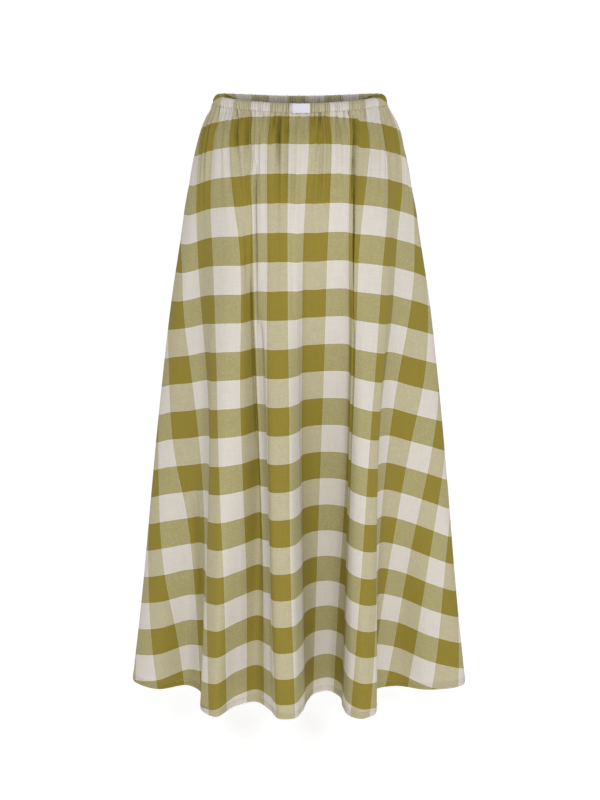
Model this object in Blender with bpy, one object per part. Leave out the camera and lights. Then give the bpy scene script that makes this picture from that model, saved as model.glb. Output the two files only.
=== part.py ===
"""A maxi skirt in gingham with an elasticated waist, as it hangs on an unseen figure.

Front is -Y, the wearer's left is +X and up is +Z. The origin is the middle of the waist opening.
Every piece of cloth is a wall round the hollow skirt. A ring is one level line round the skirt: it runs from
the left edge of the front across to the right edge, and then back round behind.
"""

import math

import bmesh
import bpy
import numpy as np

MM = 0.001

# Sizes of the cut and the sewing, in millimetres
SKIRT_LENGTH = 883
CLOTH = 1.2
SEAM_GAP = 0.3
CASING_HEIGHT = 12
CASING_WALL = 1.0
CASING_SHOULDER = 1.5
SLOT_TOP = 1.9
ELASTIC_WIDTH = 9.5
ELASTIC_THICKNESS = 1.0
ELASTIC_DEPTH = 2.7
HEM_TURN = 12
HEM_TURN_WALL = 1.0
LABEL_WIDTH = 24
LABEL_HEIGHT = 13
LABEL_THICKNESS = 0.8
LABEL_OFF_CENTRE = 1.5
LABEL_CLEAR = 0.5
LABEL_TOP = 0.3

# Height of the casing's top edge over the origin, at the centre front, the sides and the centre back
TOP_FRONT = 4
TOP_SIDE = 8
TOP_BACK = -1
TOP_EVENS_OUT = 150

# Gathers: each crest and each trough is one column of points
COLUMNS = 108
CASING_GATHER = 0.9
SKIRT_GATHER = 1.1
GATHERS_END = 75
SOFT_FOLD_COLUMNS = 6
SOFT_FOLD_DEPTH = 2.2
SOFT_FOLDS_END = 170

# The skirt's form at depths down the cloth: half its width, and how far front and back stand from the middle
SECTIONS = (
    # down, half_width, front, back
    (0, 118.5, 80, 86),
    (12, 122, 84, 90),
    (50, 138, 104, 106),
    (90, 149, 118, 120),
    (145, 161, 129, 132),
    (215, 172, 136, 142),
    (285, 183, 143, 150),
    (430, 200, 160, 161),
    (575, 215, 174, 168),
    (725, 231, 179, 174),
    (883, 251, 180, 178),
)

# Depths at which the front's folds are placed, and how much of a fold's depth at MID shows at the HIP
HIP = 200
MID = 430
HEM = SKIRT_LENGTH
HIP_SHARE = 0.3

# One row for each line that a fold of the front follows from waist to hem. Share is its place along the front
# of the waist, from -1 at the left seam to 1 at the right one.
FRONT_FOLDS = (
    # line, share, hip_x, mid_x, mid_y, hem_x, hem_y
    ("left seam", -1.000, -167, -199, 0, -248, 14),
    ("left side", -0.920, -169, -200, -42, -251, -50),
    ("left swell", -0.845, -154, -185, -62, -214, -77),
    ("left trough", -0.782, -145, -155, -82, -168, -64),
    ("left turn", -0.724, -136, -138, -94, -151, -82),
    ("fold 1 flank", -0.672, -128, -129, -114, -147, -116),
    ("fold 1 edge", -0.610, -116, -123, -140, -143, -150),
    ("fold 1 crest", -0.534, -94, -107, -154, -124, -170),
    ("fold 1 slope", -0.458, -78, -81, -150, -94, -134),
    ("valley 1", -0.382, -67, -59, -130, -66, -120),
    ("fold 2 flank", -0.306, -58, -51, -146, -44, -148),
    ("fold 2 crest", -0.202, -41, -42, -160, -29, -177),
    ("fold 2 top", -0.085, -17, -15, -159, -8, -175),
    ("fold 2 edge", -0.009, -5, -3, -144, 3, -153),
    ("fold 2 fall", 0.060, 6, 5, -122, 12, -114),
    ("valley 2 left", 0.130, 23, 21, -112, 22, -92),
    ("valley 2", 0.212, 43, 42, -112, 42, -83),
    ("valley 2 right", 0.302, 64, 67, -120, 58, -101),
    ("fold 3 flank", 0.392, 75, 71, -144, 63, -140),
    ("fold 3 crest", 0.489, 89, 82, -157, 71, -166),
    ("fold 3 top", 0.558, 106, 96, -158, 85, -176),
    ("fold 3 edge", 0.620, 120, 109, -148, 105, -167),
    ("fold 3 side", 0.682, 129, 115, -118, 112, -120),
    ("right turn", 0.751, 137, 133, -88, 113, -78),
    ("right trough", 0.813, 151, 157, -76, 142, -66),
    ("right swell", 0.876, 161, 184, -62, 190, -79),
    ("right side", 0.938, 168, 200, -46, 247, -61),
    ("right seam", 1.000, 168, 203, -20, 252, -26),
)

# The back's hanging folds, counted from the right seam round to the left one
BACK_VALLEYS = (
    # valley, hip_place, hem_place, half_width, hem_depth
    ("right side valley", 0.20, 0.17, 0.110, 66),
    ("right valley", 0.40, 0.38, 0.100, 88),
    ("left valley", 0.59, 0.61, 0.115, 70),
    ("left side valley", 0.79, 0.82, 0.100, 80),
)
FOLDS_START = 170
FOLD_GROWTH = 0.8

# Depths down the cloth at which a panel has a row of points, between the casing and the hem's turn
PANEL_ROWS = (28, 48, 75, 120, 185, 280, 400, 540, 700)

CLOTH_COLOUR = (0.47, 0.42, 0.20, 1)
TURNED_CLOTH_COLOUR = (0.42, 0.38, 0.18, 1)
ELASTIC_COLOUR = (0.80, 0.79, 0.75, 1)
LABEL_COLOUR = (0.86, 0.86, 0.89, 1)


def smooth_through(places, values, place):
    """Value at a place on a smooth curve through rows of values, with no overshoot where rows are uneven."""
    places = np.asarray(places, float)
    values = np.asarray(values, float)
    wide = (-1,) + (1,) * (values.ndim - 1)
    gaps = np.diff(places)
    slopes = np.diff(values, axis=0) / gaps.reshape(wide)
    tangents = np.concatenate([slopes[:1], slopes])
    before, after = gaps[:-1].reshape(wide), gaps[1:].reshape(wide)
    tangents[1:-1] = (after * slopes[:-1] + before * slopes[1:]) / (before + after)
    place = np.atleast_1d(np.asarray(place, float))
    row = np.clip(np.searchsorted(places, place, side="right") - 1, 0, len(gaps) - 1)
    gap = gaps[row].reshape(wide)
    t = ((place - places[row]) / gaps[row]).reshape(wide)
    start = (2 * t**3 - 3 * t**2 + 1) * values[row] + (t**3 - 2 * t**2 + t) * gap * tangents[row]
    end = (3 * t**2 - 2 * t**3) * values[row + 1] + (t**3 - t**2) * gap * tangents[row + 1]
    return start + end


def section(down):
    """Half width, front and back of the form at a depth down the cloth."""
    rows = np.array(SECTIONS, float)
    return smooth_through(rows[:, 0], rows[:, 1:], down)[0]


def level(down):
    """How far a ring lies under the casing's top edge: the cloth's length less what its slope takes up."""
    rows = np.array(SECTIONS, float)
    lengths = np.diff(rows[:, 0])
    drops = np.sqrt(lengths**2 - np.diff(rows[:, 2]) ** 2)
    return np.interp(down, rows[:, 0], np.concatenate([[0], np.cumsum(drops)]))


def fade(down, end):
    """1 at the casing's lower edge, softly down to 0 where something ends."""
    share = np.clip((down - CASING_HEIGHT) / (end - CASING_HEIGHT), 0, 1)
    return (1 - share) ** 2 * (1 + 2 * share)


def along(line):
    return np.concatenate([[0], np.cumsum(np.hypot(*np.diff(line, axis=0).T))])


def evened(line, shares):
    """Points of a line at shares of its length."""
    length = along(line)
    return np.stack([np.interp(np.asarray(shares) * length[-1], length, line[:, i]) for i in (0, 1)], axis=1)


def waist_line():
    """The front of the waist at the fold lines' places."""
    half_width, front, _ = section(0)
    angles = np.linspace(-math.pi / 2, math.pi / 2, 361)
    ellipse = np.stack([half_width * np.sin(angles), -front * np.cos(angles)], axis=1)
    return evened(ellipse, [(row[1] + 1) / 2 for row in FRONT_FOLDS])


def front_keys():
    """The fold lines at the waist, hip, middle and hem, as shares of the form's half width and front."""
    rows = np.array([row[1:] for row in FRONT_FOLDS], float)
    middle, hem = rows[:, 2:4], rows[:, 4:6]

    def round_front(x, down):
        half_width, front, _ = section(down)
        return -front * np.sqrt(np.clip(1 - (x / half_width) ** 2, 0, 1))

    hip_y = round_front(rows[:, 1], HIP) + HIP_SHARE * (middle[:, 1] - round_front(middle[:, 0], MID))
    hip_y[[0, -1]] = 0
    hip = np.stack([rows[:, 1], hip_y], axis=1)
    keys = np.stack([waist_line(), hip, middle, hem])
    for key, down in zip(keys, (0, HIP, MID, HEM)):
        key /= section(down)[:2]
    return keys


FRONT_KEYS = front_keys()


def front_line(down):
    """The front of a ring, from the left seam to the right one, a column of points for each gather."""
    lines = smooth_through((0, HIP, MID, HEM), FRONT_KEYS, down)[0] * section(down)[:2]
    places = np.linspace(0, len(lines) - 1, COLUMNS + 1)
    length = along(lines)
    return smooth_through(length, lines, np.interp(places, np.arange(len(lines)), length))


def back_line(down, start, end):
    """The back of a ring, from the right seam round to the left one."""
    shares = np.linspace(0, 1, COLUMNS + 1)
    turn = np.linspace(0, math.pi, 361)
    side = np.interp(turn, (0, math.pi), (start[1], end[1]))
    x = (start[0] + end[0]) / 2 + (start[0] - end[0]) / 2 * np.cos(turn)
    line = evened(np.stack([x, side + (section(down)[2] - side) * np.sin(turn)], axis=1), shares)
    growth = max(0, (down - FOLDS_START) / (HEM - FOLDS_START)) ** FOLD_GROWTH
    depth = np.zeros(len(line))
    for _, hip_place, hem_place, half_width, hem_depth in BACK_VALLEYS:
        middle = np.interp(down, (HIP, HEM), (hip_place, hem_place))
        from_middle = np.clip((shares - middle) / half_width, -1, 1)
        depth += hem_depth * growth * np.cos(from_middle * math.pi / 2) ** 2
    tangent = np.gradient(line, axis=0)
    tangent /= np.hypot(*tangent.T)[:, None]
    return line + np.stack([-tangent[:, 1], tangent[:, 0]], axis=1) * depth[:, None]


def ring(down):
    """A whole ring with no gathers: its points, the way out and the way along at each, and their heights."""
    front = front_line(down)
    back = back_line(down, front[-1], front[0])
    points = np.concatenate([front[:-1], back[:-1]])
    forward = np.roll(points, -1, axis=0) - np.roll(points, 1, axis=0)
    forward /= np.hypot(*forward.T)[:, None]
    outward = np.stack([forward[:, 1], -forward[:, 0]], axis=1)
    sideways = np.clip(points[:, 0] / section(down)[0], -1, 1) ** 2
    middle = np.where(np.arange(len(points)) < COLUMNS, TOP_FRONT, TOP_BACK)
    uneven = (middle + (TOP_SIDE - middle) * sideways - TOP_FRONT) * max(0, 1 - down / TOP_EVENS_OUT)
    return points, outward, forward, TOP_FRONT + uneven - level(down)


def gathers(down):
    """How far each column of the skirt stands out: fine gathers, and soft folds that open under the casing."""
    column = np.arange(2 * COLUMNS)
    fine = np.where(column % 2 == 0, 1, -1) * SKIRT_GATHER * fade(down, GATHERS_END)
    wander = 1.4 * np.sin(column * 2 * math.pi / 27)
    opening = 1 - fade(down, 2 * GATHERS_END)
    soft = np.cos(column * 2 * math.pi / SOFT_FOLD_COLUMNS + wander)
    return fine + soft * SOFT_FOLD_DEPTH * opening * fade(down, SOFT_FOLDS_END)


def columns_at(down, columns, offset):
    """Points of a level line at given columns, moved out by an offset. Where a piece ends, it stops at its seam."""
    points, outward, forward, height = ring(down)
    column = np.asarray(columns) % len(points)
    offset = np.broadcast_to(offset, len(points))[column]
    flat = points[column] + outward[column] * offset[:, None]
    if len(columns) == COLUMNS + 1:
        flat[0] += forward[column[0]] * SEAM_GAP / 2
        flat[-1] -= forward[column[-1]] * SEAM_GAP / 2
    return np.concatenate([flat, height[column, None]], axis=1)


def wall(name, outer, inner, colour, roughness, closed=False):
    """A closed wall between two sheets of points, counted as columns and rows. A closed one goes all round.

    Both sheets start each quad at the same corner, so that both are folded along the same diagonal."""
    outer, inner = np.asarray(outer), np.asarray(inner)
    columns, rows = outer.shape[:2]
    bm = bmesh.new()
    out = [[bm.verts.new(point * MM) for point in column] for column in outer]
    back = [[bm.verts.new(point * MM) for point in column] for column in inner]
    for i in range(columns if closed else columns - 1):
        j = (i + 1) % columns
        for row in range(rows - 1):
            bm.faces.new((out[i][row], out[i][row + 1], out[j][row + 1], out[j][row]))
            bm.faces.new((back[i][row], back[j][row], back[j][row + 1], back[i][row + 1]))
        bm.faces.new((out[j][0], back[j][0], back[i][0], out[i][0]))
        bm.faces.new((out[i][-1], back[i][-1], back[j][-1], out[j][-1]))
    if not closed:
        for row in range(rows - 1):
            bm.faces.new((out[0][row], back[0][row], back[0][row + 1], out[0][row + 1]))
            bm.faces.new((out[-1][row + 1], back[-1][row + 1], back[-1][row], out[-1][row]))
    bmesh.ops.recalc_face_normals(bm, faces=bm.faces)
    mesh = bpy.data.meshes.new(name)
    bm.to_mesh(mesh)
    bm.free()
    mesh.shade_smooth()
    mesh.set_sharp_from_angle(angle=math.radians(50))
    material = bpy.data.materials.new(name)
    material.use_nodes = True
    shader = material.node_tree.nodes["Principled BSDF"]
    shader.inputs["Base Color"].default_value = colour
    shader.inputs["Roughness"].default_value = roughness
    shader.inputs["Metallic"].default_value = 0
    mesh.materials.append(material)
    piece = bpy.data.objects.new(name, mesh)
    bpy.context.scene.collection.objects.link(piece)
    return piece


def by_column(rows):
    return np.stack(rows, axis=1)


def panel(name, columns):
    """Front or back of the skirt, from the casing's lower edge to the hem."""
    downs = (CASING_HEIGHT + SEAM_GAP, *PANEL_ROWS, HEM - HEM_TURN, HEM)
    outer = by_column([columns_at(down, columns, gathers(down)) for down in downs])
    inner = by_column([columns_at(down, columns, gathers(down) - CLOTH) for down in downs])
    wall(name, outer, inner, CLOTH_COLOUR, 0.85)


def casing(name, columns):
    """The panel's top, turned over the elastic: its gathers bulge out on the face and in on the inside."""
    face = np.where(np.arange(2 * COLUMNS) % 2 == 0, 1, -1) * CASING_GATHER
    inside = -2 * ELASTIC_DEPTH - face
    outline = (
        # down, offset, and the same for the slot that holds the elastic
        (CASING_HEIGHT, face, CASING_HEIGHT, face - CASING_WALL),
        (CASING_SHOULDER, face, SLOT_TOP, face - CASING_WALL),
        (0, -ELASTIC_DEPTH, CASING_SHOULDER, -ELASTIC_DEPTH),
        (CASING_SHOULDER, inside, SLOT_TOP, inside + CASING_WALL),
        (CASING_HEIGHT, inside, CASING_HEIGHT, inside + CASING_WALL),
    )
    outer = by_column([columns_at(row[0], columns, row[1]) for row in outline])
    inner = by_column([columns_at(row[2], columns, row[3]) for row in outline])
    wall(name, outer, inner, CLOTH_COLOUR, 0.85)


def waist_elastic():
    """A flat band in the middle of the casing, clear of its walls."""
    every_third = range(0, 2 * COLUMNS, 3)
    top = (CASING_HEIGHT + SLOT_TOP - ELASTIC_WIDTH) / 2
    downs = (top, top + ELASTIC_WIDTH)
    half = ELASTIC_THICKNESS / 2
    outer = by_column([columns_at(down, every_third, half - ELASTIC_DEPTH) for down in downs])
    inner = by_column([columns_at(down, every_third, -half - ELASTIC_DEPTH) for down in downs])
    wall("waist_elastic", outer, inner, ELASTIC_COLOUR, 0.7, closed=True)


def hem_turn(name, columns):
    """The lower edge turned up inside the panel."""
    downs = (HEM - HEM_TURN, HEM)
    face = -CLOTH - SEAM_GAP
    outer = by_column([columns_at(down, columns, face) for down in downs])
    inner = by_column([columns_at(down, columns, face - HEM_TURN_WALL) for down in downs])
    wall(name, outer, inner, TURNED_CLOTH_COLOUR, 0.85)


def label():
    """A small woven label that lies over the casing's gathers at the centre front."""
    under = CASING_GATHER + LABEL_CLEAR
    across = np.linspace(-LABEL_WIDTH / 2, LABEL_WIDTH / 2, 7) + LABEL_OFF_CENTRE
    sides = []
    for offset in (under + LABEL_THICKNESS, under):
        rows = []
        for down in np.linspace(LABEL_TOP, LABEL_TOP + LABEL_HEIGHT, 4):
            front = columns_at(down, range(COLUMNS + 1), offset)
            rows.append(np.stack([np.interp(across, front[:, 0], front[:, i]) for i in range(3)], axis=1))
        sides.append(by_column(rows))
    wall("label", *sides, LABEL_COLOUR, 0.5)


def main():
    for old in list(bpy.data.objects):
        bpy.data.objects.remove(old, do_unlink=True)
    front = range(COLUMNS + 1)
    back = range(COLUMNS, 2 * COLUMNS + 1)
    panel("front_panel", front)
    panel("back_panel", back)
    casing("front_casing", front)
    casing("back_casing", back)
    waist_elastic()
    hem_turn("front_hem_turn", front)
    hem_turn("back_hem_turn", back)
    label()


main()
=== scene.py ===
"""The looks of a maxi skirt in gingham with an elasticated waist, as it hangs on an unseen figure.

Front is -Y, the wearer's left is +X and up is +Z. Sizes are millimetres until a mesh is made.
The cloth lies on the same rings as the part's solids: a ring is one level line round the skirt, from the left
edge of the front across to the right edge and back round behind. Its UV map is the flat cut, with one unit
for each repeat of the check, so that the check hangs with the cloth.
"""

import math

import bpy
import numpy as np
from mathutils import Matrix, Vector


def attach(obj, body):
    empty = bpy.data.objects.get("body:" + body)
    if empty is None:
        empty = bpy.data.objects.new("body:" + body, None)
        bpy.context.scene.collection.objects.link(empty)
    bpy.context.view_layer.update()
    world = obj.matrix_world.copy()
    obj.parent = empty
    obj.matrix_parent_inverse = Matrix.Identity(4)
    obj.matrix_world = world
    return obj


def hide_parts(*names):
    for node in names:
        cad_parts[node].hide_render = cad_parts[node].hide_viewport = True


MM = 0.001
PARTS = ("front", "back")
SIDES = ("left", "right")

# Sizes of the cut and the sewing. The centres are the check's count at the middle of front and back, and the
# arc says how the cut's waist and hem curve up towards the sides.
SKIRT_LENGTH = 883
WAIST_CUT = 460
HEM_CUT = 980
CHECK_REPEAT = 80
CUT_ARC = 3.6e-4
FRONT_CENTRE = 0
BACK_CENTRE = 33
CLOTH = 0.5
CASING_HEIGHT = 12
CASING_TURN = 14
HEM_TURN = 12
SEAM_GAP = 0.3
SEAM_FURROW = 0.7
SEAM_ALLOWANCE = 10.5
SEAM_CLEAR = 0.5
ELASTIC_WIDTH = 9.5
ELASTIC_THICKNESS = 1.0
ELASTIC_DEPTH = 2.7
ELASTIC_DROP = 0.6
LABEL_WIDTH = 24
LABEL_HEIGHT = 13
LABEL_TURN = 2.5
LABEL_THICKNESS = 0.2
LABEL_OFF_CENTRE = 1.5
LABEL_CLEAR = 2.4
LABEL_TOP = 0.3

# Sewing: stitch length, step from one stitch to the next, thread thickness, and where its rows run
STITCH = 2.6
STITCH_STEP = 3.4
THREAD = 0.5
CASING_STITCHING = 11.2
HEM_STITCHING = (10, 8)
HEM_RIDGE = 0.3
OVERLOCK_START = 18
OVERLOCK_STEP = 2.6
OVERLOCK_CLEAR = 0.2
LABEL_STITCH_STEP = 3.0
LABEL_STITCH_MARGIN = 1.2
LABEL_STITCH_INSET = 1.3

# Height of the casing's top edge over the origin, at the centre front, the sides and the centre back
TOP_FRONT = 4
TOP_SIDE = 8
TOP_BACK = -1
TOP_EVENS_OUT = 150

# The skirt's form at depths down the cloth: half its width, and how far front and back stand from the middle
SECTIONS = (
    # down, half_width, front, back
    (0, 118.5, 80, 86),
    (12, 122, 84, 90),
    (50, 138, 104, 106),
    (90, 149, 118, 120),
    (145, 161, 129, 132),
    (215, 172, 136, 142),
    (285, 183, 143, 150),
    (430, 200, 160, 161),
    (575, 215, 174, 168),
    (725, 231, 179, 174),
    (883, 251, 180, 178),
)

# Depths at which the front's folds are placed, and how much of a fold's depth at MID shows at the HIP
HIP = 200
MID = 430
LOW = 660
HEM = SKIRT_LENGTH
HIP_SHARE = 0.3

# One row for each line that a fold of the front follows from waist to hem. Share is its place along the front
# of the waist, from -1 at the left seam to 1 at the right one.
FRONT_FOLDS = (
    # line, share, hip_x, mid_x, mid_y, hem_x, hem_y
    ("left seam", -1.000, -167, -199, 0, -248, 14),
    ("left side", -0.920, -169, -200, -42, -251, -50),
    ("left swell", -0.845, -154, -185, -62, -214, -77),
    ("left trough", -0.782, -145, -155, -82, -168, -64),
    ("left turn", -0.724, -136, -138, -94, -151, -82),
    ("fold 1 flank", -0.672, -128, -129, -114, -147, -116),
    ("fold 1 edge", -0.610, -116, -123, -140, -143, -150),
    ("fold 1 crest", -0.534, -94, -107, -154, -124, -170),
    ("fold 1 slope", -0.458, -78, -81, -150, -94, -134),
    ("valley 1", -0.382, -67, -59, -130, -66, -120),
    ("fold 2 flank", -0.306, -58, -51, -146, -44, -148),
    ("fold 2 crest", -0.202, -41, -42, -160, -29, -177),
    ("fold 2 top", -0.085, -17, -15, -159, -8, -175),
    ("fold 2 edge", -0.009, -5, -3, -144, 3, -153),
    ("fold 2 fall", 0.060, 6, 5, -122, 12, -114),
    ("valley 2 left", 0.130, 23, 21, -112, 22, -92),
    ("valley 2", 0.212, 43, 42, -112, 42, -83),
    ("valley 2 right", 0.302, 64, 67, -120, 58, -101),
    ("fold 3 flank", 0.392, 75, 71, -144, 63, -140),
    ("fold 3 crest", 0.489, 89, 82, -157, 71, -166),
    ("fold 3 top", 0.558, 106, 96, -158, 85, -176),
    ("fold 3 edge", 0.620, 120, 109, -148, 105, -167),
    ("fold 3 side", 0.682, 129, 115, -118, 112, -120),
    ("right turn", 0.751, 137, 133, -88, 113, -78),
    ("right trough", 0.813, 151, 157, -76, 142, -66),
    ("right swell", 0.876, 161, 184, -62, 190, -79),
    ("right side", 0.938, 168, 200, -46, 247, -61),
    ("right seam", 1.000, 168, 203, -20, 252, -26),
)

# Where those lines cross the flat cut, counted across it from the middle of the centre cream stripe, and how
# much higher up the cloth the check stands there than on the cut, because the cloth gives along the bias
FRONT_CHECKS = (
    # line, hip, mid, low, hem, waist_rise, hip_rise, mid_rise, low_rise, hem_rise
    ("left seam", -285, -347, -409, -470, -15, -9, -5, -1, 3),
    ("left side", -262, -325, -378, -424, -13, -8, -4, 0, 4),
    ("left swell", -240, -296, -336, -380, -9, -7, -2, 0, 3),
    ("left trough", -222, -266, -302, -332, -7, -6, 0, 3, 3),
    ("left turn", -205, -242, -272, -305, -6, -4, 2, 3, 2),
    ("fold 1 flank", -190, -220, -243, -272, -5, -2, 4, 5, 3),
    ("fold 1 edge", -172, -196, -214, -240, -4, 0, 5, 6, 3),
    ("fold 1 crest", -150, -168, -190, -206, -2, 1, 6, 6, 3),
    ("fold 1 slope", -133, -138, -150, -162, 0, 0, 4, 4, 3),
    ("valley 1", -108, -106, -118, -122, 0, 0, 2, 3, 3),
    ("fold 2 flank", -84, -80, -80, -84, 0, 1, 2, 3, 2),
    ("fold 2 crest", -54, -52, -46, -50, 0, 1, 1, 1, 0),
    ("fold 2 top", -20, -20, -18, -22, 0, 1, 1, 1, 0),
    ("fold 2 edge", 2, 4, 4, 6, 0, -1, 1, 1, 1),
    ("fold 2 fall", 22, 24, 30, 38, 0, -1, 1, 0, 1),
    ("valley 2 left", 42, 46, 54, 64, 0, -1, 1, 0, 1),
    ("valley 2", 66, 72, 80, 88, 0, 1, 3, 2, 3),
    ("valley 2 right", 92, 98, 106, 114, -1, 2, 5, 4, 5),
    ("fold 3 flank", 127, 132, 134, 142, -2, 3, 6, 6, 6),
    ("fold 3 crest", 151, 154, 162, 176, -3, 4, 7, 7, 7),
    ("fold 3 top", 169, 174, 184, 200, -4, 3, 6, 7, 7),
    ("fold 3 edge", 184, 196, 206, 226, -5, 1, 5, 6, 7),
    ("fold 3 side", 202, 222, 244, 274, -6, 0, 5, 6, 6),
    ("right turn", 222, 258, 284, 318, -7, -2, 3, 5, 6),
    ("right trough", 240, 284, 324, 356, -8, -5, -2, 3, 5),
    ("right swell", 258, 312, 376, 412, -10, -7, -6, 0, 4),
    ("right side", 276, 340, 430, 474, -13, -9, -7, -2, 3),
    ("right seam", 294, 366, 439, 510, -15, -10, -8, -3, 3),
)

# The back's hanging folds, counted from the right seam round to the left one
BACK_VALLEYS = (
    # valley, hip_place, hem_place, half_width, hem_depth
    ("right side valley", 0.20, 0.17, 0.110, 66),
    ("right valley", 0.40, 0.38, 0.100, 88),
    ("left valley", 0.59, 0.61, 0.115, 70),
    ("left side valley", 0.79, 0.82, 0.100, 80),
)
FOLDS_START = 170
FOLD_GROWTH = 0.8
BACK_SIDE_RISES = (-15, -10, -6, -2, 3)
BACK_RISE_GROWTH = 4

# Points of an ellipse that is then divided evenly
ARC_POINTS = 361

# Gathers: the cloth that each takes up, how pinched they are, how far they stand in and out, and the depths
# down the cloth at which they are full and have opened out again
FINE_GATHER = 5.2
FINE_PINCH = 0.45
FINE_DEPTH = 1.2
FINE_START = 16
FINE_END = 46
PUCKER_GATHER = 11
PUCKER_PINCH = 0.5
PUCKER_DEPTH = 1.9
PUCKER_INWARD = 0.45
PUCKER_END = 42
SOFT_GATHER = 17
SOFT_DEPTH = 2.2
SOFT_FULL = 40
SOFT_FADE = 70
SOFT_END = 200

# How the gathers' spacing and height wander: by how much, over how many gathers, and how a seed shifts it
SPACING_WANDER = ((1.1, 3.7, 1), (0.8, 8.3, 2.3))
HEIGHT_WANDER = ((0.25, 5.1, 1.7), (0.2, 2.3, 0.6))
USUAL_HEIGHT = 0.75

# Seeds that make the gathers of each kind differ on the front and the back
FINE_SEEDS = {"front": 1, "back": 4}
INNER_SEEDS = {"front": 6, "back": 9}
PUCKER_SEEDS = {"front": 6, "back": 9}
SOFT_SEEDS = {"front": 2, "back": 5}
SWAY_SEEDS = {"front": 3, "back": 6}

# How far the gathers push the check up or down at the stitching, the check's step at the deep crease on the
# right, and the depths between which both fade
CHECK_SWAY = 0.6
STEP_PLACE = 121
STEP_HEIGHT = 3.0
STEP_WIDTH = 3
SWAY_FADE = (30, 130)

# Creases that run down from the casing or lie along a fold. Across is the place on the flat cut at the start
# and at the end, a plus depth is a trough and a minus one a ridge. Each begins a little above its start,
# deepens over a share of its length and fades over its lower half.
CREASE_LEAD = 5
FADE_SHARE = 0.08
FRONT_CREASES = (
    # across_start, across_end, width, depth, start, end
    (-214, -210, 4, 1.9, 12, 70),
    (-198, -192, 3, 2.3, 12, 80),
    (-182, -178, 4, 1.6, 12, 60),
    (-165, -161, 2.6, 3.4, 12, 54),
    (-154, -147, 2.6, 3.0, 12, 52),
    (-146, -140, 2.4, 2.7, 12, 48),
    (-133, -126, 3, 5.8, 12, 88),
    (-122, -117, 3.5, 2.1, 12, 68),
    (-111, -105, 3, 6.0, 12, 90),
    (-103, -97, 3.8, 8.0, 12, 125),
    (-100, -105, 2.4, 1.8, 74, 250),
    (-75, -71, 3.5, 2.7, 12, 62),
    (-63, -59, 2.6, 3.0, 12, 52),
    (-52, -50, 2.8, 5.0, 12, 46),
    (-41, -37, 3, 6.6, 12, 110),
    (-25, -22, 4, 2.4, 12, 60),
    (-9, -8, 3.5, 1.8, 12, 44),
    (5, 7, 4, 2.7, 12, 62),
    (17, 18, 3, 3.0, 12, 54),
    (25, 26, 2.8, 4.4, 12, 38),
    (40, 32, 3, 6.0, 12, 80),
    (53, 50, 3.5, 3.0, 12, 66),
    (62, 61, 3, 2.2, 12, 50),
    (74, 71, 4, 2.7, 12, 68),
    (88, 90, 3.5, 2.0, 12, 56),
    (98, 113, 2.8, 4.4, 13, 28),
    (113, 110, 3.0, 6.6, 18, 160),
    (121, 120, 2.4, 2.6, 24, 130),
    (138, 147, 2.8, 4.6, 20, 90),
    (157, 153, 3, 4.6, 22, 110),
    (169, 166, 3.5, 2.3, 16, 74),
    (181, 175, 3, 4.2, 24, 100),
    (197, 193, 4, 2.0, 14, 70),
    (213, 208, 3.5, 2.1, 14, 80),
    (-160, -178, 9, 1.3, 80, 340),
    (-118, -131, 7, 1.3, 90, 340),
    (-62, -66, 8, 0.9, 100, 310),
    (-40, -39, 6, 1.4, 90, 350),
    (-8, -6, 6, 1.2, 90, 350),
    (23, 31, 6, 1.5, 90, 360),
    (52, 59, 8, 0.9, 110, 330),
    (84, 91, 8, 1.1, 90, 310),
    (152, 176, 8, 1.4, 80, 340),
    (196, 232, 9, 1.2, 90, 350),
    (-112, -110, 3.2, 2.4, 230, 620),
    (-103, -99, 2.8, -3.0, 150, 800),
    (-86, -97, 4, 6.5, 80, 330),
    (-84, -80, 9, 6.5, 290, 900),
    (113, 133, 2.7, 7.5, 70, 360),
    (131, 133, 3.5, 5.0, 300, 620),
    (119, 140, 3.2, -2.5, 80, 400),
    (-283, -290, 8, 6.0, 520, 1400),
    (196, 230, 4, -1.2, 560, 1400),
)

# The same at the back, where they are not seen in the photograph and are placed as unevenly
BACK_CREASES = (
    # across_start, across_end, width, depth, start, end
    (-184, -190, 4, 1.6, 12, 75),
    (-166, -170, 2.8, 2.8, 12, 100),
    (-150, -148, 3.5, 1.2, 12, 50),
    (-131, -138, 2.6, 3.6, 12, 130),
    (-112, -116, 4, 1.3, 12, 60),
    (-95, -92, 2.6, 2.6, 12, 80),
    (-71, -76, 3, 1.8, 12, 70),
    (-52, -50, 2.4, 3.8, 12, 110),
    (-30, -34, 4, 1.2, 12, 55),
    (-12, -8, 2.8, 2.6, 12, 85),
    (14, 12, 3.5, 1.5, 12, 60),
    (33, 36, 2.4, 3.4, 12, 120),
    (55, 52, 3, 1.6, 12, 60),
    (72, 78, 2.6, 3.0, 12, 95),
    (96, 94, 4, 1.3, 12, 60),
    (117, 124, 2.6, 3.9, 12, 140),
    (141, 140, 3, 1.6, 12, 60),
    (160, 166, 2.6, 2.8, 12, 90),
    (183, 180, 4, 1.4, 12, 60),
    (204, 214, 2.8, 3.2, 12, 120),
    (226, 230, 3.5, 1.5, 12, 70),
    (-150, -190, 9, 1.4, 80, 340),
    (-84, -104, 7, 1.2, 100, 350),
    (-20, -24, 8, 1.3, 90, 370),
    (45, 50, 7, 1.1, 100, 330),
    (104, 126, 8, 1.4, 90, 350),
    (170, 208, 9, 1.3, 80, 340),
    (-60, -72, 6, 1.2, 240, 560),
    (88, 104, 6, 1.4, 220, 600),
)


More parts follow.
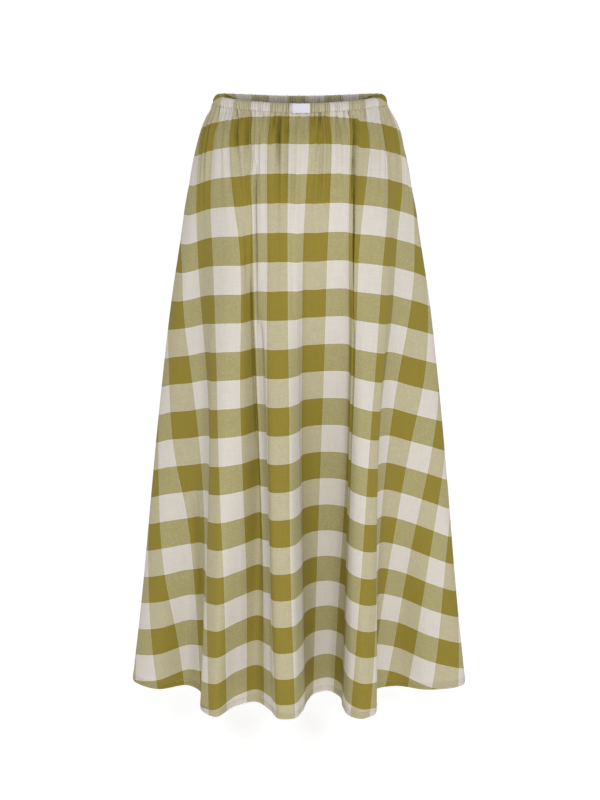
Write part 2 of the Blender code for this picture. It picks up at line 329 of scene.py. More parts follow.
def smooth_through(places, values, place):
    """Value at a place on a smooth curve through rows of values, with no overshoot where rows are uneven."""
    places = np.asarray(places, float)
    values = np.asarray(values, float)
    wide = (-1,) + (1,) * (values.ndim - 1)
    gaps = np.diff(places)
    slopes = np.diff(values, axis=0) / gaps.reshape(wide)
    tangents = np.concatenate([slopes[:1], slopes])
    before, after = gaps[:-1].reshape(wide), gaps[1:].reshape(wide)
    tangents[1:-1] = (after * slopes[:-1] + before * slopes[1:]) / (before + after)
    place = np.atleast_1d(np.asarray(place, float))
    row = np.clip(np.searchsorted(places, place, side="right") - 1, 0, len(gaps) - 1)
    gap = gaps[row].reshape(wide)
    t = ((place - places[row]) / gaps[row]).reshape(wide)
    start = (2 * t**3 - 3 * t**2 + 1) * values[row] + (t**3 - 2 * t**2 + t) * gap * tangents[row]
    end = (3 * t**2 - 2 * t**3) * values[row + 1] + (t**3 - t**2) * gap * tangents[row + 1]
    return start + end


def section(down):
    """Half width, front and back of the form at a depth down the cloth."""
    rows = np.array(SECTIONS, float)
    return smooth_through(rows[:, 0], rows[:, 1:], down)[0]


def level(down):
    """How far a ring lies under the casing's top edge: the cloth's length less what its slope takes up."""
    rows = np.array(SECTIONS, float)
    lengths = np.diff(rows[:, 0])
    drops = np.sqrt(lengths**2 - np.diff(rows[:, 2]) ** 2)
    return np.interp(down, rows[:, 0], np.concatenate([[0], np.cumsum(drops)]))


def soft_step(value, start, end):
    """0 at the start, 1 at the end and soft at both."""
    share = np.clip((value - start) / (end - start), 0, 1)
    return share**2 * (3 - 2 * share)


def along(line):
    """How far along a line each of its points is."""
    return np.concatenate([[0], np.cumsum(np.linalg.norm(np.diff(line, axis=0), axis=1))])


def points_at(line, places):
    """Points of a line at places along it."""
    length = along(line)
    return np.stack([np.interp(places, length, values) for values in line.T], axis=1)


def evened(line, shares):
    """Points of a line at shares of its length."""
    return points_at(line, np.asarray(shares) * along(line)[-1])


def front_keys():
    """The fold lines at the waist, hip, middle and hem, as shares of the form's half width and front."""
    rows = np.array([row[1:] for row in FRONT_FOLDS], float)
    middle, hem = rows[:, 2:4], rows[:, 4:6]

    def round_front(x, down):
        half_width, front, _ = section(down)
        return -front * np.sqrt(np.clip(1 - (x / half_width) ** 2, 0, 1))

    half_width, front, _ = section(0)
    angles = np.linspace(-math.pi / 2, math.pi / 2, ARC_POINTS)
    ellipse = np.stack([half_width * np.sin(angles), -front * np.cos(angles)], axis=1)
    waist = evened(ellipse, (rows[:, 0] + 1) / 2)
    hip_y = round_front(rows[:, 1], HIP) + HIP_SHARE * (middle[:, 1] - round_front(middle[:, 0], MID))
    hip_y[[0, -1]] = 0
    hip = np.stack([rows[:, 1], hip_y], axis=1)
    keys = np.stack([waist, hip, middle, hem])
    for key, down in zip(keys, (0, HIP, MID, HEM)):
        key /= section(down)[:2]
    return keys


def check_keys():
    """The fold lines' places across the cut and the check's rise, at the waist, hip, middle, low and hem."""
    shares = np.array([row[1] for row in FRONT_FOLDS], float)
    rows = np.array([row[1:] for row in FRONT_CHECKS], float)
    across = np.vstack([shares * WAIST_CUT / 2, rows[:, :4].T])
    return np.stack([across, rows[:, 4:].T], axis=-1)


FRONT_KEYS = front_keys()
CHECK_KEYS = check_keys()
CREASES = {"front": FRONT_CREASES, "back": BACK_CREASES}


def front_line(down, columns):
    """The front of a ring, from the left seam to the right one, and its check: places across and rise."""
    lines = smooth_through((0, HIP, MID, HEM), FRONT_KEYS, down)[0] * section(down)[:2]
    check = smooth_through((0, HIP, MID, LOW, HEM), CHECK_KEYS, down)[0]
    length = along(lines)
    places = np.interp(np.linspace(0, len(lines) - 1, columns + 1), np.arange(len(lines)), length)
    fine = smooth_through(length, np.column_stack([lines, check]), places)
    return fine[:, :2], fine[:, 2:]


def back_line(down, start, end, columns):
    """The back of a ring, from the right seam round to the left, and its check: places across and rise."""
    shares = np.linspace(0, 1, columns + 1)
    turn = np.linspace(0, math.pi, ARC_POINTS)
    side = np.interp(turn, (0, math.pi), (start[1], end[1]))
    x = (start[0] + end[0]) / 2 + (start[0] - end[0]) / 2 * np.cos(turn)
    line = evened(np.stack([x, side + (section(down)[2] - side) * np.sin(turn)], axis=1), shares)
    growth = max(0, (down - FOLDS_START) / (HEM - FOLDS_START)) ** FOLD_GROWTH
    depth = np.zeros(len(line))
    for _, hip_place, hem_place, half_width, hem_depth in BACK_VALLEYS:
        middle = np.interp(down, (HIP, HEM), (hip_place, hem_place))
        from_middle = np.clip((shares - middle) / half_width, -1, 1)
        depth += hem_depth * growth * np.cos(from_middle * math.pi / 2) ** 2
    tangent = np.gradient(line, axis=0)
    tangent /= np.hypot(*tangent.T)[:, None]
    line = line + np.stack([-tangent[:, 1], tangent[:, 0]], axis=1) * depth[:, None]
    from_centre = along(line) / along(line)[-1] - 0.5
    across = BACK_CENTRE + from_centre * np.interp(down, (0, HEM), (WAIST_CUT, HEM_CUT))
    side_rise = np.interp(down, (0, HIP, MID, LOW, HEM), BACK_SIDE_RISES)
    rise = side_rise * (2 * from_centre) ** BACK_RISE_GROWTH
    return line, np.column_stack([across, rise])


def ring(down, columns):
    """A whole ring: its points, the way out and the way along at each, their heights, and for the front and
    the back the check's places across the flat cut and its rise."""
    front, front_check = front_line(down, columns)
    back, back_check = back_line(down, front[-1], front[0], columns)
    points = np.concatenate([front[:-1], back[:-1]])
    forward = np.roll(points, -1, axis=0) - np.roll(points, 1, axis=0)
    forward /= np.hypot(*forward.T)[:, None]
    outward = np.stack([forward[:, 1], -forward[:, 0]], axis=1)
    sideways = np.clip(points[:, 0] / section(down)[0], -1, 1) ** 2
    middle = np.where(np.arange(len(points)) < columns, TOP_FRONT, TOP_BACK)
    uneven = (middle + (TOP_SIDE - middle) * sideways - TOP_FRONT) * max(0, 1 - down / TOP_EVENS_OUT)
    height = TOP_FRONT + uneven - level(down)
    return points, outward, forward, height, {"front": front_check, "back": back_check}


def wander(phase, seed, rows, usual=0.0):
    """A usual value with slow waves added to it."""
    return sum((size * np.sin(phase / length + shift * seed) for size, length, shift in rows), usual)


def uneven_wave(across, length, seed, pinch=1.0):
    """A wave of about a given length along the cloth, whose spacing and height wander. A pinch under 1 gives
    it broad crests and narrow gaps."""
    phase = across * 2 * math.pi / length
    spacing = wander(phase, seed, SPACING_WANDER)
    height = wander(phase, seed, HEIGHT_WANDER, USUAL_HEIGHT)
    return height * (2 * (0.5 + 0.5 * np.cos(phase + spacing)) ** pinch - 1)


def gathers(part, across, inner=False):
    """The fine waves that the elastic's pull leaves in the cloth, on its face or on the casing's inside."""
    seeds = INNER_SEEDS if inner else FINE_SEEDS
    return uneven_wave(across, FINE_GATHER, seeds[part], FINE_PINCH)


def relief(part, down, across):
    """How far the cloth stands out of its ring: fine and soft gathers, puckers and single creases."""
    fine = FINE_DEPTH * (1 - soft_step(down, FINE_START, FINE_END))
    soft = SOFT_DEPTH * soft_step(down, CASING_HEIGHT, SOFT_FULL) * (1 - soft_step(down, SOFT_FADE, SOFT_END))
    pucker = PUCKER_DEPTH * (1 - soft_step(down, CASING_HEIGHT, PUCKER_END))
    puckers = uneven_wave(across, PUCKER_GATHER, PUCKER_SEEDS[part], PUCKER_PINCH) - PUCKER_INWARD
    out = fine * gathers(part, across) + soft * uneven_wave(across, SOFT_GATHER, SOFT_SEEDS[part])
    out = out + pucker * puckers
    for across_start, across_end, width, depth, start, end in CREASES[part]:
        middle = np.interp(down, (start, end), (across_start, across_end))
        full = start + CREASE_LEAD + FADE_SHARE * (end - start)
        strength = soft_step(down, start - CREASE_LEAD, full) * (1 - soft_step(down, (start + end) / 2, end))
        out = out - depth * strength * np.exp(-(((across - middle) / width) ** 2))
    return out


def sway(part, down, across):
    """How far the gathers lift the check's lines under the casing."""
    fade = 1 - soft_step(down, *SWAY_FADE)
    step = STEP_HEIGHT * np.tanh((STEP_PLACE - across) / STEP_WIDTH) / 2 if part == "front" else 0
    return fade * (CHECK_SWAY * uneven_wave(across, SOFT_GATHER, SWAY_SEEDS[part]) + step)


def flat_place(part, down, across, rise):
    """UV of a point of the cloth: its place on the flat cut, in repeats of the check."""
    centre = FRONT_CENTRE if part == "front" else BACK_CENTRE
    drop = down + rise + sway(part, down, across) - CUT_ARC * (across - centre) ** 2
    half_stripe = CHECK_REPEAT / 4
    return np.stack([(across + half_stripe) / CHECK_REPEAT, (drop + half_stripe) / CHECK_REPEAT], axis=-1)


def cloth_line(part, down, columns, offset=0, flat_down=None, creased=True):
    """A line of points across the front or the back, moved out by an offset, and their UV. Where the cloth is
    turned over, its depth down the flat cut is given too."""
    points, outward, forward, height, checks = ring(down, columns)
    across, rise = checks[part].T
    start = 0 if part == "front" else columns
    column = np.arange(start, start + columns + 1) % len(points)
    from_seam = np.minimum(np.arange(columns + 1), np.arange(columns + 1)[::-1])
    furrow = SEAM_FURROW * np.exp(-from_seam.astype(float))
    out = offset + creased * (relief(part, down, across) - furrow)
    flat = points[column] + outward[column] * np.broadcast_to(out, len(column))[:, None]
    flat[0] += forward[column[0]] * SEAM_GAP / 2
    flat[-1] -= forward[column[-1]] * SEAM_GAP / 2
    place = np.concatenate([flat, height[column, None]], axis=1)
    return place, flat_place(part, down if flat_down is None else flat_down, across, rise)


def sheet_mesh(name, rows, uvs, closed=False):
    """A sheet of quads through rows of points, with its UV map. Rows run from top to bottom."""
    rows = np.asarray(rows, float)
    count, columns = rows.shape[:2]
    index = np.arange(count * columns).reshape(count, columns)
    left = index if closed else index[:, :-1]
    right = np.roll(index, -1, axis=1) if closed else index[:, 1:]
    faces = np.stack([left[:-1], left[1:], right[1:], right[:-1]], axis=-1).reshape(-1, 4)
    mesh = bpy.data.meshes.new(name)
    mesh.from_pydata(rows.reshape(-1, 3) * MM, [], faces.tolist())
    if uvs is not None:
        layer = mesh.uv_layers.new(name="flat_cut")
        layer.uv.foreach_set("vector", np.asarray(uvs).reshape(-1, 2)[faces.ravel()].ravel())
    mesh.shade_smooth()
    piece = bpy.data.objects.new(name, mesh)
    bpy.context.scene.collection.objects.link(piece)
    return piece


def apply(piece, kind, **settings):
    """Adds a modifier to a piece and applies it."""
    bpy.ops.object.select_all(action="DESELECT")
    bpy.context.view_layer.objects.active = piece
    piece.select_set(True)
    modifier = piece.modifiers.new(kind.title(), kind)
    for name, value in settings.items():
        setattr(modifier, name, value)
    bpy.ops.object.modifier_apply(modifier=modifier.name)


def thicken(piece, thickness):
    """Gives a sheet its thickness, inwards."""
    apply(piece, "SOLIDIFY", thickness=thickness * MM, offset=-1.0, use_rim=True)
    bpy.ops.object.shade_smooth_by_angle(angle=math.radians(50))


def finish(piece, material, slot, *nodes):
    """The piece takes its material, moves with the skirt and stands for the CAD nodes."""
    piece.data.materials.clear()
    piece.data.materials.append(material)
    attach(piece, "root")
    if nodes:
        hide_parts(*nodes)
    return piece


PANEL_COLUMNS = 432
PANEL_ROWS = 98
ROW_CROWDING = 1.4
PANEL_TOP = 13.4

# The panel's top edge runs up behind the casing's lower one, where the two are stitched together
TUCK = (
    # down, offset
    (11.2, -1.6),
    (12.2, -1.0),
    (12.9, -0.2),
)


def panel(part, material):
    """Front or back of the skirt, from the casing down to the hem, where stitches leave fine ridges."""
    shares = np.linspace(0, 1, PANEL_ROWS) ** ROW_CROWDING
    bottom = HEM - HEM_TURN
    rows = [*TUCK, *[(down, 0) for down in PANEL_TOP + (bottom - PANEL_TOP) * shares]]
    rows += [(bottom + number, HEM_RIDGE * (-1) ** number) for number in range(1, HEM_TURN)] + [(HEM, 0)]
    lines = [cloth_line(part, down, PANEL_COLUMNS, offset) for down, offset in rows]
    piece = sheet_mesh(f"{part}_panel_cloth", [line[0] for line in lines], [line[1] for line in lines])
    thicken(piece, CLOTH)
    return finish(piece, material, "gingham_cloth", f"{part}_panel")


CASING_COLUMNS = 864
CASING_DEPTH = 1.5

# The casing's outline from its stitching on the face, over the elastic, to its stitching on the inside
CASING_OUTLINE = (
    # down, offset, gather
    (12.4, -0.1, 0.85),
    (11.2, 0.0, 0.75),
    (9.0, 0.5, 1.0),
    (6.5, 0.7, 1.0),
    (4.0, 0.5, 0.95),
    (2.2, 0.0, 0.8),
    (1.0, -0.8, 0.6),
    (0.3, -1.7, 0.5),
    (0.0, -2.7, 0.5),
    (0.3, -3.6, 0.5),
    (1.0, -4.3, 0.6),
    (2.2, -4.9, 0.8),
    (4.0, -5.2, 0.9),
    (6.5, -5.3, 0.9),
    (9.0, -5.2, 0.8),
    (10.8, -4.7, 0.7),
    (12.0, -3.6, 0.5),
    (CASING_TURN, -2.9, 0.4),
)


def casing(part, material):
    """The panel's top, turned over the elastic and shirred by it."""
    outline = np.array(CASING_OUTLINE, float)
    path = np.stack([outline[:, 1], -outline[:, 0]], axis=1)
    fallen = CASING_HEIGHT - along(path)
    normal = np.gradient(path, axis=0)
    normal /= np.hypot(*normal.T)[:, None]
    normal = np.stack([normal[:, 1], -normal[:, 0]], axis=1)
    rows = []
    uvs = []
    for number, (down, offset, gather) in enumerate(CASING_OUTLINE):
        across = ring(down, CASING_COLUMNS)[4][part][:, 0]
        inner = number > len(outline) // 2
        wave = CASING_DEPTH * gather * gathers(part, across, inner)
        out = offset + wave * normal[number, 0]
        line, uv = cloth_line(part, down, CASING_COLUMNS, out, fallen[number], creased=False)
        line[:, 2] += wave * normal[number, 1]
        rows.append(line)
        uvs.append(uv)
    piece = sheet_mesh(f"{part}_casing_cloth", rows[::-1], uvs[::-1])
    thicken(piece, CLOTH)
    return finish(piece, material, "gingham_cloth", f"{part}_casing")


def hem_turn(part, material):
    """The lower edge, turned up inside."""
    columns = PANEL_COLUMNS
    downs = (HEM - HEM_TURN, HEM - HEM_TURN / 2, HEM - 1, HEM)
    lines = [cloth_line(part, down, columns, -CLOTH - SEAM_GAP, 2 * HEM - down) for down in downs]
    piece = sheet_mesh(f"{part}_hem_turn_cloth", [line[0] for line in lines], [line[1] for line in lines])
    thicken(piece, CLOTH)
    return finish(piece, material, "gingham_cloth", f"{part}_hem_turn")


ELASTIC_COLUMNS = 216
ELASTIC_RIBS = 9
RIB_OUT = 0.12
RIB_IN = -0.05


def waist_elastic(material):
    """The flat band inside the casing, with its braided ribs."""
    top = (CASING_HEIGHT - ELASTIC_WIDTH) / 2 + ELASTIC_DROP
    rows = []
    for number in range(ELASTIC_RIBS * 2 + 1):
        down = top + ELASTIC_WIDTH * number / (ELASTIC_RIBS * 2)
        rib = RIB_OUT if number % 2 else RIB_IN
        points, outward, _, height, _ = ring(down, ELASTIC_COLUMNS)
        flat = points + outward * (ELASTIC_THICKNESS / 2 - ELASTIC_DEPTH + rib)
        rows.append(np.concatenate([flat, height[:, None]], axis=1))
    piece = sheet_mesh("waist_elastic_band", rows, None, closed=True)
    thicken(piece, ELASTIC_THICKNESS)
    return finish(piece, material, "elastic", "waist_elastic")


WAIST_COLUMNS = 216
LABEL_COLUMNS = 41
LABEL_ROWS = 14

# The label's end, from under it round its edge: how far in from the edge, and how far under the face
LABEL_END = (
    # inward, under
    (LABEL_TURN, 0.5),
    (LABEL_TURN / 2, 0.5),
    (0.2, 0.45),
    (0.0, 0.25),
    (0.2, 0.05),
)


def on_waist(down, clear, across):
    """Points over the front's middle, at places across it in millimetres of the worn waist."""
    points, _ = cloth_line("front", down, WAIST_COLUMNS, clear, creased=False)
    places = across + LABEL_OFF_CENTRE
    return np.stack([np.interp(places, points[:, 0], values) for values in points.T], axis=1)


def label(material):
    """A small woven label over the casing at the centre front, its ends turned under. It is blank."""
    edge = LABEL_WIDTH / 2
    end_inward, end_under = np.array(LABEL_END).T
    middle = np.linspace(1 - edge, edge - 1, LABEL_COLUMNS)
    across = np.concatenate([end_inward - edge, middle, edge - end_inward[::-1]])
    under = np.concatenate([end_under, np.zeros(LABEL_COLUMNS), end_under[::-1]])
    rows = []
    for down in np.linspace(LABEL_TOP, LABEL_TOP + LABEL_HEIGHT, LABEL_ROWS):
        line = on_waist(down, LABEL_CLEAR, across)
        line[:, 1] += under
        rows.append(line)
    piece = sheet_mesh("woven_label", rows, None)
    thicken(piece, LABEL_THICKNESS)
    return finish(piece, material, "label_tape", "label")


# Columns of the back that a side seam's allowance lies along, and the allowance's own points across and down
SEAM_COLUMNS = 8
SEAM_POINTS = 5
SEAM_ROWS = 110


def side_line(side, down, inside):
    """Points on the inside of the back, from a side seam across its allowance, and their UV."""
    points, outward, _, height, checks = ring(down, PANEL_COLUMNS)
    from_seam = np.arange(SEAM_COLUMNS)
    column = PANEL_COLUMNS + from_seam if side == "left" else (-from_seam) % len(points)
    check = (checks["back"] if side == "left" else checks["back"][::-1])[:SEAM_COLUMNS]
    line = np.column_stack([points[column] - outward[column] * inside, height[column]])
    places = np.linspace(0, SEAM_ALLOWANCE, SEAM_POINTS)
    across, rise = [np.interp(places, along(line), values) for values in check.T]
    return points_at(line, places), flat_place("back", down, across, rise)


def seam_allowance(side, material):
    """Both panels' raw edges at a side seam, overlocked together and pressed towards the back."""
    downs = np.linspace(CASING_TURN, HEM - HEM_TURN, SEAM_ROWS)
    lines = [side_line(side, down, CLOTH + SEAM_CLEAR) for down in downs]
    piece = sheet_mesh(f"{side}_seam_allowance", [line[0] for line in lines], [line[1] for line in lines])
    thicken(piece, 2 * CLOTH)
    return finish(piece, material, "gingham_cloth")


def one_stitch():
    """Points and faces of one stitch of thread, lying along X with its face up Z."""
    turned = (0, math.radians(90), 0)
    bpy.ops.object.select_all(action="DESELECT")
    bpy.ops.mesh.primitive_uv_sphere_add(segments=6, ring_count=4, radius=1, rotation=turned)
    ball = bpy.context.object
    bpy.ops.object.transform_apply(rotation=True)
    points = np.array([point.co for point in ball.data.vertices]) * (STITCH / 2, THREAD / 2, THREAD / 2)
    faces = [list(face.vertices) for face in ball.data.polygons]
    bpy.data.objects.remove(ball)
    return points, faces


def stitches_along(line, step=STITCH_STEP):
    """Middles and directions of the stitches of a row that follows a line."""
    count = int(along(line)[-1] / step)
    middles = (np.arange(count) + 0.5) * step
    first = points_at(line, middles - STITCH / 2)
    last = points_at(line, middles + STITCH / 2)
    return (first + last) / 2, last - first


def sewing(name, rows, material):
    """All the stitches of some rows, in one mesh. A row gives their middles and directions."""
    points, faces = one_stitch()
    middles = np.concatenate([row[0] for row in rows])
    along_row = np.concatenate([row[1] for row in rows])
    along_row /= np.linalg.norm(along_row, axis=1)[:, None]
    beside = np.cross(along_row, middles * (1, 1, 0) / np.linalg.norm(middles[:, :2], axis=1)[:, None])
    beside /= np.linalg.norm(beside, axis=1)[:, None]
    axes = np.stack([along_row, beside, np.cross(along_row, beside)], axis=1)
    placed = np.einsum("pa,nab->npb", points, axes) + middles[:, None]
    starts = np.arange(len(middles)) * len(points)
    all_faces = [[point + start for point in face] for start in starts for face in faces]
    mesh = bpy.data.meshes.new(name)
    mesh.from_pydata(placed.reshape(-1, 3) * MM, [], all_faces)
    mesh.shade_smooth()
    piece = bpy.data.objects.new(name, mesh)
    bpy.context.scene.collection.objects.link(piece)
    return finish(piece, material, "gingham_cloth")


def casing_sewing(material):
    """The row of stitches that closes the casing under the elastic, pulled half way into its gathers."""
    rows = []
    for part in PARTS:
        across = ring(CASING_STITCHING, CASING_COLUMNS)[4][part][:, 0]
        lift = THREAD / 3 + CASING_DEPTH / 2 * gathers(part, across)
        line, _ = cloth_line(part, CASING_STITCHING, CASING_COLUMNS, lift, creased=False)
        rows.append(stitches_along(line))
    return sewing("casing_stitches", rows, material)


def hem_sewing(material):
    """Two rows of stitches that hold the hem, on the face."""
    rows = []
    for above in HEM_STITCHING:
        for part in PARTS:
            line, _ = cloth_line(part, HEM - above, PANEL_COLUMNS, THREAD / 4)
            rows.append(stitches_along(line))
    return sewing("hem_stitches", rows, material)


def overlock_sewing(material):
    """Thread looped over the raw edges of both side seams, on the inside."""
    inside = 3 * CLOTH + SEAM_CLEAR + OVERLOCK_CLEAR
    rows = []
    for side in SIDES:
        downs = np.arange(OVERLOCK_START, HEM - HEM_TURN, OVERLOCK_STEP)
        lines = [side_line(side, down, inside)[0] for down in downs]
        edge = np.array([line[-1] for line in lines])
        half_way = np.array([line[SEAM_POINTS // 2] for line in lines])
        rows.append(((edge + half_way) / 2, edge - half_way))
    return sewing("overlock_stitches", rows, material)


def label_sewing(material):
    """A column of stitches at each end of the label."""
    first = LABEL_TOP + LABEL_STITCH_MARGIN
    last = LABEL_TOP + LABEL_HEIGHT - LABEL_STITCH_MARGIN
    rows = []
    for end in (-1, 1):
        downs = np.linspace(first, last, LABEL_ROWS - 2)
        across = np.array([end * (LABEL_WIDTH / 2 - LABEL_STITCH_INSET)])
        line = np.concatenate([on_waist(down, LABEL_CLEAR + THREAD / 4, across) for down in downs])
        rows.append(stitches_along(line, LABEL_STITCH_STEP))
    return sewing("label_stitches", rows, material)


def linear(code):
    """A colour written as an sRGB hex code, turned to linear."""
    values = [int(code[i : i + 2], 16) / 255 for i in (1, 3, 5)]
    return (*[v / 12.92 if v <= 0.04045 else ((v + 0.055) / 1.055) ** 2.4 for v in values], 1.0)


def add(tree, kind, inputs=(), **settings):
    """Adds a node with its settings, and its inputs as values or links. Returns its first output."""
    node = tree.nodes.new(kind)
    for name, value in settings.items():
        setattr(node, name, value)
    for name, value in dict(inputs).items():
        if isinstance(value, bpy.types.NodeSocket):
            tree.links.new(value, node.inputs[name])
        else:
            node.inputs[name].default_value = value
    return node.outputs[0]


def new_material(name, colour, roughness):
    """A material with a plain shader to build on: returns it, its nodes and its shader."""
    material = bpy.data.materials.new(name)
    material.use_nodes = True
    tree = material.node_tree
    shader = tree.nodes["Principled BSDF"]
    shader.inputs["Base Color"].default_value = linear(colour)
    shader.inputs["Roughness"].default_value = roughness
    material.diffuse_color = linear(colour)
    return material, tree, shader


def flecked(tree, shader, colour, size, contrast, detail):
    """Gives a shader its colour with lighter and darker flecks of a size. Returns the place on the object."""
    place = add(tree, "ShaderNodeTexCoord").node.outputs["Object"]
    flecks = add(tree, "ShaderNodeTexNoise", {"Vector": place, "Scale": 1 / (size * MM), "Detail": detail})
    spread = {0: flecks, 1: contrast, 2: 1 - contrast / 2}
    shade = add(tree, "ShaderNodeMath", spread, operation="MULTIPLY_ADD")
    tone = add(tree, "ShaderNodeVectorMath", {0: linear(colour)[:3], 1: shade}, operation="MULTIPLY")
    tree.links.new(tone, shader.inputs["Base Color"])
    return place


# Colours of the check's four kinds of crossing
CREAM = "#c7c0b7"
OLIVE = "#83752c"
OLIVE_UNDER_CREAM = "#ada587"
CREAM_UNDER_OLIVE = "#9a9264"

# The weave: a stripe in repeats of the check, a mottled crossing, slubs and the pale and dark borders of the
# stripes in millimetres, and how much each changes the tone or stands out
STRIPE = 0.5
CROSSING = 1.1
MOTTLE = 0.3
SLUB_WIDTH = 1.6
SLUB_LENGTH = 26
SLUB_TONE = 0.16
SLUB_HEIGHT = 0.3
BORDER = 1.6
BORDER_TONE = 0.08


def gingham():
    """Yarn-dyed plain weave of cotton and viscose: two colours of yarn, of which the weft shows more.

    Matt, with a faint sheen at grazing angles from the short fibres that stand out of it.
    """
    material, tree, shader = new_material("gingham_weave", CREAM, roughness=0.8)
    shader.inputs["Sheen Weight"].default_value = 0.03
    shader.inputs["Sheen Roughness"].default_value = 0.5
    shader.inputs["Specular IOR Level"].default_value = 0.15
    flat = add(tree, "ShaderNodeUVMap", uv_map="flat_cut")
    apart = add(tree, "ShaderNodeSeparateXYZ", {0: flat})
    across = apart
    down = apart.node.outputs[1]

    def calculate(operation, *values, clamp=False):
        return add(tree, "ShaderNodeMath", dict(enumerate(values)), operation=operation, use_clamp=clamp)

    def mix(factor, first, second):
        inputs = {"Factor": factor, 6: first, 7: second}
        return add(tree, "ShaderNodeMix", inputs, data_type="RGBA").node.outputs[2]

    def noise(width, length):
        stretched = add(tree, "ShaderNodeMapping", {"Vector": flat, "Scale": (1 / width, 1 / length, 1)})
        return add(tree, "ShaderNodeTexNoise", {"Vector": stretched, "Scale": CHECK_REPEAT, "Detail": 2.0})

    def olive(place):
        """1 on the olive stripe, which is the second in each repeat."""
        return calculate("GREATER_THAN", calculate("FRACT", place), STRIPE)

    def border(place, is_olive):
        """Beside a stripe's edge, 1 on the cream side and -1 on the olive side."""
        far = calculate("DIVIDE", calculate("PINGPONG", place, STRIPE / 2), BORDER / CHECK_REPEAT)
        near = calculate("SUBTRACT", 1.0, far, clamp=True)
        return calculate("MULTIPLY", near, calculate("MULTIPLY_ADD", is_olive, -2.0, 1.0))

    warp_olive = olive(across)
    weft_olive = olive(down)
    light_row = mix(warp_olive, linear(CREAM), linear(OLIVE_UNDER_CREAM))
    dark_row = mix(warp_olive, linear(CREAM_UNDER_OLIVE), linear(OLIVE))
    cells = mix(weft_olive, light_row, dark_row)

    # Mottling: real yarns cross every 0.3 mm. It is drawn as crossings 1.1 mm apart, the smallest that show.
    count = {0: flat, "Scale": CHECK_REPEAT / CROSSING}
    crossings = add(tree, "ShaderNodeVectorMath", count, operation="SCALE")
    crossings = add(tree, "ShaderNodeVectorMath", {0: crossings}, operation="FLOOR")
    specks = add(tree, "ShaderNodeTexWhiteNoise", {"Vector": crossings}, noise_dimensions="2D")
    warp = mix(warp_olive, linear(CREAM), linear(OLIVE))
    weft = mix(weft_olive, linear(CREAM), linear(OLIVE))
    warp_share = calculate("MULTIPLY", calculate("SUBTRACT", specks, 0.5, clamp=True), MOTTLE)
    weft_share = calculate("MULTIPLY", calculate("SUBTRACT", 0.5, specks, clamp=True), MOTTLE)
    cells = mix(weft_share, mix(warp_share, cells, warp), weft)

    # Slubs: yarn is thicker in places, and the wavy sum of both ways gives the cloth its slight unevenness
    slubs = calculate("ADD", noise(SLUB_WIDTH, SLUB_LENGTH), noise(SLUB_LENGTH, SLUB_WIDTH))
    edges = calculate("ADD", border(across, warp_olive), border(down, weft_olive))
    tone = calculate("MULTIPLY_ADD", calculate("SUBTRACT", slubs, 1.0), SLUB_TONE, 1.0)
    tone = calculate("MULTIPLY_ADD", edges, BORDER_TONE, tone)
    lit = add(tree, "ShaderNodeVectorMath", {0: cells, 1: tone}, operation="MULTIPLY")
    tree.links.new(lit, shader.inputs["Base Color"])
    bump = add(tree, "ShaderNodeBump", {"Strength": 0.35, "Distance": SLUB_HEIGHT * MM, "Height": slubs})
    tree.links.new(bump, shader.inputs["Normal"])
    return material


# At this scale a wave texture's bands are about one unit apart
BAND_SCALE = 1 / math.pi

# A rib's height and a fibre's size in millimetres, and how much the fibres change the tone
RIB_HEIGHT = 0.1
FIBRE = 0.9
FIBRE_TONE = 0.12


def ribbed(name, colour, roughness, rib):
    """A narrow woven tape or braid, whose ribs run round it and catch the light one by one."""
    material, tree, shader = new_material(name, colour, roughness)
    shader.inputs["Sheen Weight"].default_value = 0.1
    place = flecked(tree, shader, colour, FIBRE, FIBRE_TONE, 2.0)
    in_ribs = add(tree, "ShaderNodeMapping", {"Vector": place, "Scale": (1, 1, 1 / (rib * MM))})
    ribs = add(tree, "ShaderNodeTexWave", {"Vector": in_ribs, "Scale": BAND_SCALE}, bands_direction="Z")
    inputs = {"Strength": 0.3, "Distance": RIB_HEIGHT * MM, "Height": ribs.node.outputs["Fac"]}
    tree.links.new(add(tree, "ShaderNodeBump", inputs), shader.inputs["Normal"])
    return material


# One twist of the plies in millimetres, and how much they change the tone
PLY_TWIST = 1.1
PLY_TONE = 0.3


def thread(name, colour):
    """Spun polyester sewing thread: two plies whose twist gives it light and dark flecks."""
    material, tree, shader = new_material(name, colour, roughness=0.55)
    shader.inputs["Sheen Weight"].default_value = 0.2
    flecked(tree, shader, colour, PLY_TWIST, PLY_TONE, 1.0)
    return material


# The camera's place in metres, its tilt from straight down in degrees, and its lens and sensor in millimetres
CAMERA_PLACE = (0, -2.4, 0.23)
CAMERA_TILT = 74.46
CAMERA_LENS = 75.9
SENSOR_WIDTH = 36


def camera():
    """The photograph's view, worked out from the check's size: in front and a little above the waist."""
    bpy.ops.object.camera_add(location=CAMERA_PLACE, rotation=(math.radians(CAMERA_TILT), 0, 0))
    view = bpy.context.object
    view.data.sensor_width = SENSOR_WIDTH
    view.data.lens = CAMERA_LENS
    bpy.context.scene.camera = view


FLOOR_LEVEL = -1.03
FLOOR_SIZE = 90
FLOOR_GLOW = 0.56


def floor():
    """A plain white floor, where the wearer's feet would stand, that glows to match the white round it."""
    bpy.ops.object.select_all(action="DESELECT")
    bpy.ops.mesh.primitive_plane_add(size=FLOOR_SIZE, location=(0, 0, FLOOR_LEVEL))
    ground = bpy.context.object
    ground.name = "studio_floor"
    material, _, shader = new_material("matt_white_floor", "#fcfcfc", roughness=0.9)
    shader.inputs["Specular IOR Level"].default_value = 0.1
    shader.inputs["Emission Color"].default_value = linear("#ffffff")
    shader.inputs["Emission Strength"].default_value = FLOOR_GLOW
    ground.data.materials.append(material)


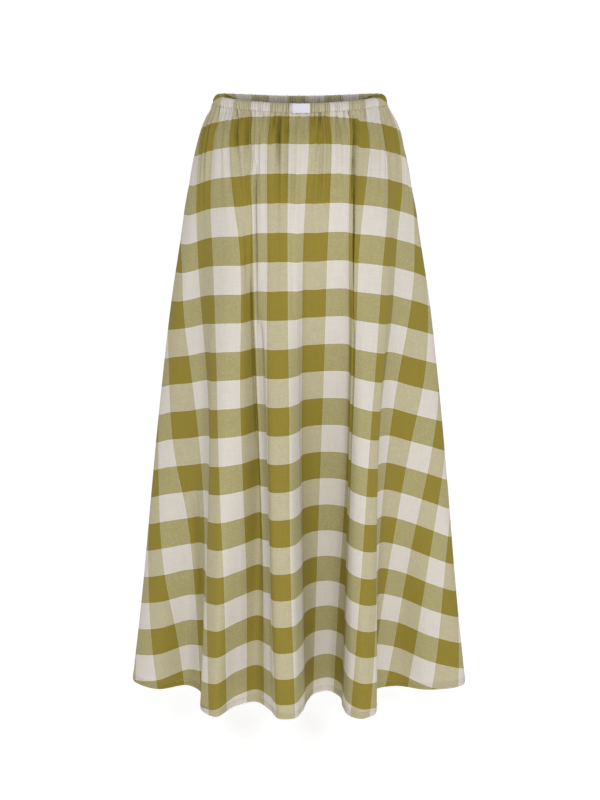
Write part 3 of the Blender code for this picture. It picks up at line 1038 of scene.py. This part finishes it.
# The lamps, in metres and watts, and the place that they are turned to
LAMPS = (
    # place, size, power
    ((0.9, -3.5, 1.2), 0.6, 44),
    ((-0.4, -3.5, 1.4), 0.6, 14),
)
LAMP_AIM = (0, 0, -0.4)

# The studio's walls are white up to a height, given as the sine of its angle, and fade to a dimmer ceiling
WALL_LIGHT = 1.0
CEILING_LIGHT = 0.4
WALL_TOP = 0.17
CEILING_EDGE = 0.5


def lights():
    """Soft studio light: white all round, a lamp on the camera's right and a weaker one on its left."""
    world = bpy.data.worlds.new("studio")
    world.use_nodes = True
    tree = world.node_tree
    way = add(tree, "ShaderNodeTexCoord").node.outputs["Generated"]
    upward = add(tree, "ShaderNodeSeparateXYZ", {0: way}).node.outputs["Z"]
    heights = {0: upward, 1: WALL_TOP, 2: CEILING_EDGE, 3: WALL_LIGHT, 4: CEILING_LIGHT}
    light = add(tree, "ShaderNodeMapRange", heights, interpolation_type="SMOOTHSTEP")
    tree.links.new(light, tree.nodes["Background"].inputs["Strength"])
    tree.nodes["Background"].inputs["Color"].default_value = linear("#ffffff")
    bpy.context.scene.world = world
    for place, size, power in LAMPS:
        bpy.ops.object.light_add(type="AREA", location=place)
        lamp = bpy.context.object
        lamp.data.size = size
        lamp.data.energy = power
        lamp.rotation_euler = (Vector(LAMP_AIM) - Vector(place)).to_track_quat("-Z", "Y").to_euler()
    bpy.context.scene.view_settings.view_transform = "Standard"


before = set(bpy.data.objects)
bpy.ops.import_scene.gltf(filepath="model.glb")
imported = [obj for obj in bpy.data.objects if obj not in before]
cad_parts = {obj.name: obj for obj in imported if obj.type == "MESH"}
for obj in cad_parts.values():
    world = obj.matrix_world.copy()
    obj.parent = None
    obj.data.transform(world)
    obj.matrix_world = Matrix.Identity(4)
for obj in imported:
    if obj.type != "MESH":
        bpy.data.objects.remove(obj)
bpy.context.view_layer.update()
camera()
floor()
lights()
weave = gingham()
for part in PARTS:
    panel(part, weave)
    casing(part, weave)
    hem_turn(part, weave)
for side in SIDES:
    seam_allowance(side, weave)
waist_elastic(ribbed("braided_elastic", "#dcd9d2", roughness=0.7, rib=1.1))
label(ribbed("satin_label_tape", "#cac7d0", roughness=0.5, rib=0.8))
seam_thread = thread("khaki_thread", "#b3ab83")
casing_sewing(seam_thread)
hem_sewing(seam_thread)
overlock_sewing(seam_thread)
label_sewing(thread("white_thread", "#e6e5ea"))
